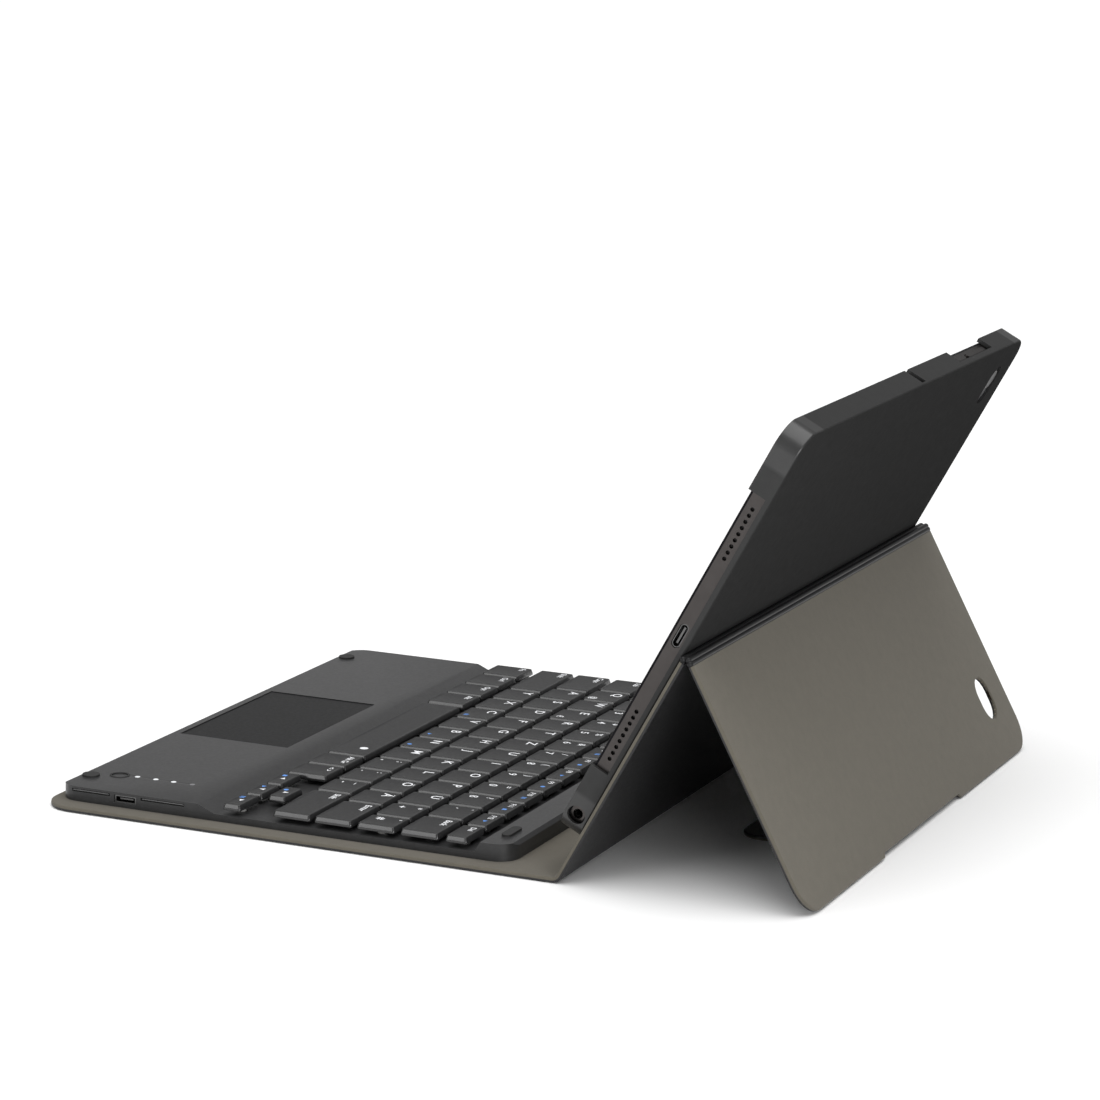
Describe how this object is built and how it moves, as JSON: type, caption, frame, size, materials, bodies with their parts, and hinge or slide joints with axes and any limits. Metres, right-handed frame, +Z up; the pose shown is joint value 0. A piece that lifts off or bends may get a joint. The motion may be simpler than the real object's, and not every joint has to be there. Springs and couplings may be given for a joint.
{
  "type": "tablet keyboard case",
  "caption": "Folio case standing as a tent: front panel with a magnetic keyboard and touchpad, a clip-in shell holding a tablet, a fold-back strut and a closure flap.",
  "frame": {"origin": "on the floor, under the middle of the footprint", "axes": "+X to the user's right along the cover's folds, +Y away from the user, +Z up"},
  "size_m": [0.2588, 0.2914, 0.1642],
  "materials": {
    "cover_skin": "fine grain, satin black",
    "cover_lining": "taupe microfibre",
    "stiffener": "compressed fibreboard",
    "magnet": "nickel plated",
    "adhesive": "thin adhesive sheet",
    "shell_plastic": "fine textured black",
    "tablet_metal": "satin anodised dark grey",
    "tablet_glass": "black glass",
    "display_stack": "display module",
    "battery_pack": "foil pouch",
    "circuit_board": "green circuit board",
    "plated_steel": "plated",
    "inner_plastic": "moulded",
    "keyboard_plastic": "satin black",
    "touchpad_surface": "smooth matt black",
    "dome_rubber": "silicone",
    "bumper_rubber": "matt",
    "light_pipe": "white, translucent",
    "keycap_plastic": "matt top, glossy sides"
  },
  "bodies": {
    "front_cover": {"front_skin": "cover_skin", "front_board": "stiffener", "front_magnets": "magnet", "front_lining": "cover_lining"},
    "floor_spine": {"spine_floor_skin": "cover_skin", "spine_floor_lining": "cover_lining"},
    "lean_spine": {"spine_lean_skin": "cover_skin", "spine_lean_lining": "cover_lining"},
    "back_shell": {"back_skin": "cover_skin", "back_board": "stiffener", "back_lining": "cover_lining", "back_bond": "adhesive", "fold_roll": "cover_skin", "shell_tray": "shell_plastic"},
    "strut": {"strut_skin": "cover_skin", "strut_board": "stiffener", "strut_magnets": "magnet", "strut_lining": "cover_lining"},
    "closure_flap": {"flap_skin": "cover_skin", "flap_lining": "cover_lining", "flap_magnets": "magnet"},
    "tablet": {"tablet_housing": "tablet_metal", "tablet_glass": "tablet_glass", "tablet_display": "display_stack", "tablet_battery": "battery_pack", "tablet_mainboard": "circuit_board", "tablet_usb_socket": "plated_steel", "tablet_jack": "plated_steel", "tablet_speakers": "inner_plastic", "tablet_camera": "tablet_glass"},
    "power_button": {"tablet_power_button": "tablet_metal"},
    "volume_button": {"tablet_volume_button": "tablet_metal"},
    "keyboard": {"keyboard_bottom": "keyboard_plastic", "keyboard_top": "keyboard_plastic", "keyboard_circuit": "circuit_board", "keyboard_dome_sheet": "dome_rubber", "keyboard_battery": "battery_pack", "touchpad": "touchpad_surface", "touchpad_bracket": "plated_steel", "control_board": "circuit_board", "keyboard_usb_socket": "plated_steel", "status_lights": "light_pipe", "keyboard_bumpers": "bumper_rubber", "keyboard_magnets": "magnet", "keyboard_screws": "plated_steel"},
    "keyboard_switch": {"keyboard_power_button": "keyboard_plastic"},
    "function_keys_group": {"function_keys": "keycap_plastic"},
    "number_keys_group": {"number_keys": "keycap_plastic"},
    "backspace_key_group": {"backspace_key": "keycap_plastic"},
    "tab_key_group": {"tab_key": "keycap_plastic"},
    "upper_letter_keys_group": {"upper_letter_keys": "keycap_plastic"},
    "caps_key_group": {"caps_key": "keycap_plastic"},
    "home_letter_keys_group": {"home_letter_keys": "keycap_plastic"},
    "enter_key_group": {"enter_key": "keycap_plastic"},
    "left_shift_key_group": {"left_shift_key": "keycap_plastic"},
    "lower_letter_keys_group": {"lower_letter_keys": "keycap_plastic"},
    "right_shift_key_group": {"right_shift_key": "keycap_plastic"},
    "bottom_row_keys_group": {"bottom_row_keys": "keycap_plastic"},
    "space_key_group": {"space_key": "keycap_plastic"},
    "arrow_keys_group": {"arrow_keys": "keycap_plastic"}
  },
  "joints": [
    {"name": "front_fold", "type": "hinge", "parent": "front_cover", "child": "floor_spine", "pos_m": [0, 0.03627, 0.001], "axis": [1, 0, 0], "range_deg": [0, 45]},
    {"name": "crease_fold", "type": "hinge", "parent": "floor_spine", "child": "lean_spine", "pos_m": [0, 0.05527, 0.001], "axis": [1, 0, 0], "range_deg": [-60, 43]},
    {"name": "back_fold", "type": "hinge", "parent": "lean_spine", "child": "back_shell", "pos_m": [0, 0.06187, 0.01346], "axis": [1, 0, 0], "range_deg": [0, 30]},
    {"name": "strut_fold", "type": "hinge", "parent": "back_shell", "child": "strut", "pos_m": [0, 0.10032, 0.08181], "axis": [1, 0, 0], "range_deg": [-10, 122]},
    {"name": "flap_fold", "type": "hinge", "parent": "strut", "child": "closure_flap", "pos_m": [0, 0.1428, 0.0009], "axis": [1, 0, 0], "range_deg": [0, 118]},
    {"name": "tablet_release", "type": "slide", "parent": "back_shell", "child": "tablet", "axis": [0, 0.8838, -0.4679], "range_m": [-0.03, 0]},
    {"name": "power_press", "type": "slide", "parent": "tablet", "child": "power_button", "axis": [0, -0.4679, -0.8838], "range_m": [0, 0.0004], "stiffness_N_per_m": 800, "springref_m": -0.0004},
    {"name": "volume_press", "type": "slide", "parent": "tablet", "child": "volume_button", "axis": [0, -0.4679, -0.8838], "range_m": [0, 0.0004], "stiffness_N_per_m": 800, "springref_m": -0.0004},
    {"name": "keyboard_release", "type": "slide", "parent": "front_cover", "child": "keyboard", "axis": [0, 0, -1], "range_m": [-0.06, 0]},
    {"name": "keyboard_switch_press", "type": "slide", "parent": "keyboard", "child": "keyboard_switch", "axis": [0, 0, -1], "range_m": [0, 0.0005], "stiffness_N_per_m": 600, "springref_m": -0.0005},
    {"name": "function_press", "type": "slide", "parent": "keyboard", "child": "function_keys_group", "axis": [0, 0, -1], "range_m": [0, 0.0015], "stiffness_N_per_m": 300, "springref_m": -0.0006},
    {"name": "number_press", "type": "slide", "parent": "keyboard", "child": "number_keys_group", "axis": [0, 0, -1], "range_m": [0, 0.0015], "stiffness_N_per_m": 300, "springref_m": -0.0006},
    {"name": "backspace_press", "type": "slide", "parent": "keyboard", "child": "backspace_key_group", "axis": [0, 0, -1], "range_m": [0, 0.0015], "stiffness_N_per_m": 300, "springref_m": -0.0006},
    {"name": "tab_press", "type": "slide", "parent": "keyboard", "child": "tab_key_group", "axis": [0, 0, -1], "range_m": [0, 0.0015], "stiffness_N_per_m": 300, "springref_m": -0.0006},
    {"name": "upper_letter_press", "type": "slide", "parent": "keyboard", "child": "upper_letter_keys_group", "axis": [0, 0, -1], "range_m": [0, 0.0015], "stiffness_N_per_m": 300, "springref_m": -0.0006},
    {"name": "caps_press", "type": "slide", "parent": "keyboard", "child": "caps_key_group", "axis": [0, 0, -1], "range_m": [0, 0.0015], "stiffness_N_per_m": 300, "springref_m": -0.0006},
    {"name": "home_letter_press", "type": "slide", "parent": "keyboard", "child": "home_letter_keys_group", "axis": [0, 0, -1], "range_m": [0, 0.0015], "stiffness_N_per_m": 300, "springref_m": -0.0006},
    {"name": "enter_press", "type": "slide", "parent": "keyboard", "child": "enter_key_group", "axis": [0, 0, -1], "range_m": [0, 0.0015], "stiffness_N_per_m": 300, "springref_m": -0.0006},
    {"name": "left_shift_press", "type": "slide", "parent": "keyboard", "child": "left_shift_key_group", "axis": [0, 0, -1], "range_m": [0, 0.0015], "stiffness_N_per_m": 300, "springref_m": -0.0006},
    {"name": "lower_letter_press", "type": "slide", "parent": "keyboard", "child": "lower_letter_keys_group", "axis": [0, 0, -1], "range_m": [0, 0.0015], "stiffness_N_per_m": 300, "springref_m": -0.0006},
    {"name": "right_shift_press", "type": "slide", "parent": "keyboard", "child": "right_shift_key_group", "axis": [0, 0, -1], "range_m": [0, 0.0015], "stiffness_N_per_m": 300, "springref_m": -0.0006},
    {"name": "bottom_row_press", "type": "slide", "parent": "keyboard", "child": "bottom_row_keys_group", "axis": [0, 0, -1], "range_m": [0, 0.0015], "stiffness_N_per_m": 300, "springref_m": -0.0006},
    {"name": "space_press", "type": "slide", "parent": "keyboard", "child": "space_key_group", "axis": [0, 0, -1], "range_m": [0, 0.0015], "stiffness_N_per_m": 300, "springref_m": -0.0006},
    {"name": "arrow_press", "type": "slide", "parent": "keyboard", "child": "arrow_keys_group", "axis": [0, 0, -1], "range_m": [0, 0.0015], "stiffness_N_per_m": 300, "springref_m": -0.0006}
  ]
}
